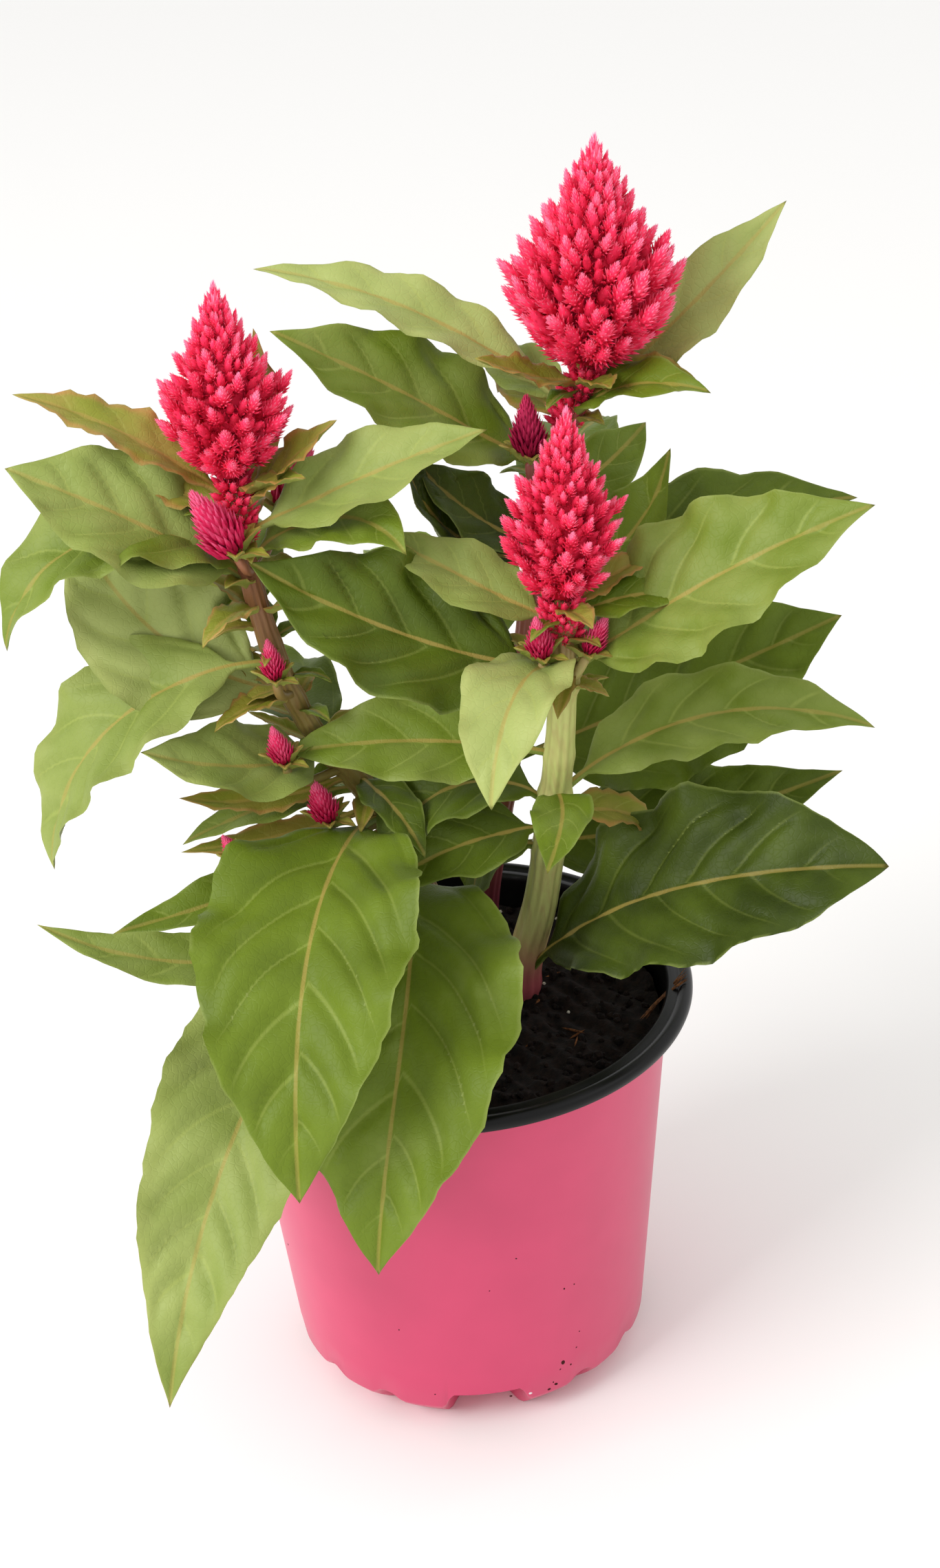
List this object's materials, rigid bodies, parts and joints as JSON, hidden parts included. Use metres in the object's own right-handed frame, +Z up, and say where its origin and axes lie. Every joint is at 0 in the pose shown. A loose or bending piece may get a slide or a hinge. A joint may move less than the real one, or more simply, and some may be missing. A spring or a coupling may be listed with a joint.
{
  "type": "potted celosia",
  "caption": "Feathery pink celosia in a pink growers' pot with a black lining and rim, with leafy stems, large plumes and small side buds.",
  "frame": {"origin": "centre of the pot's base, in the plane it stands on", "axes": "+Z up; -Y towards the side shown in the picture; +X to the right in the picture"},
  "size_m": [0.2045, 0.1947, 0.3108],
  "materials": {
    "pot_plastic": "satin, pink outside and black inside and on the rim",
    "soil": "matte peat with a few pale grains",
    "leaf": "soft satin leaf with paler veins",
    "plume": "matte, pink tips over a deep red heart"
  },
  "bodies": {
    "root": {"pot": "pot_plastic", "soil": "soil", "leafy_stem_front": "leaf", "leafy_stem_back": "leaf", "leafy_stem_left": "leaf", "plume_back": "plume", "plume_left": "plume", "plume_front": "plume", "bud_front": "plume", "bud_front_right": "plume", "bud_back": "plume", "bud_left_high": "plume", "bud_left_pink": "plume", "bud_left_mid": "plume", "bud_left_low": "plume", "bud_left_inner": "plume", "bud_left_outer": "plume"}
  },
  "joints": []
}
